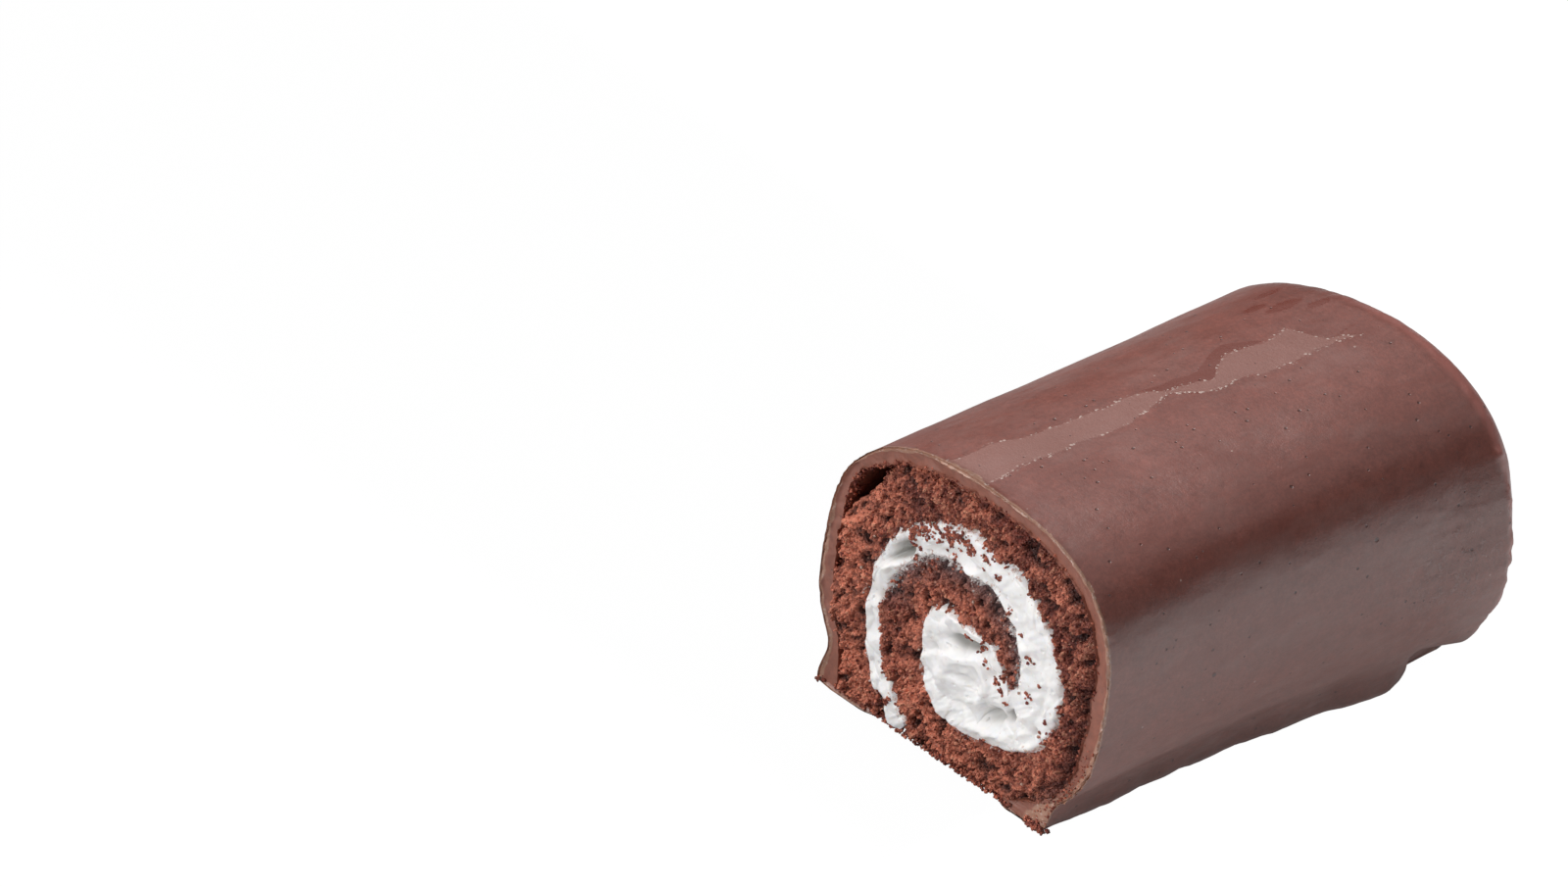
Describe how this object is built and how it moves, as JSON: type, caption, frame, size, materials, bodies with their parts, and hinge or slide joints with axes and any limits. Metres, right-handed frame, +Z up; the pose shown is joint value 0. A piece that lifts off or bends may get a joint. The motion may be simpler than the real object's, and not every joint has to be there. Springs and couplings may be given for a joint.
{
  "type": "chocolate roll cake",
  "caption": "Cut half of a small sponge roll cake, covered in a thin chocolate coating, with the rolled sponge sheet and white cream showing in the cut face",
  "frame": {"origin": "middle of the base, on the table", "axes": "+X to the right along the cut face as seen from in front of it, +Y along the roll from the cut to the covered far end, +Z up; the cut face looks along -Y"},
  "size_m": [0.0366, 0.0426, 0.0286],
  "materials": {
    "coating": "milk chocolate coating, smooth with a soft sheen",
    "sponge": "dark cocoa sponge, matte open crumb",
    "cream": "white cream filling, soft satin"
  },
  "bodies": {
    "root": {"coating": "coating", "sponge": "sponge", "cream": "cream"}
  },
  "joints": []
}
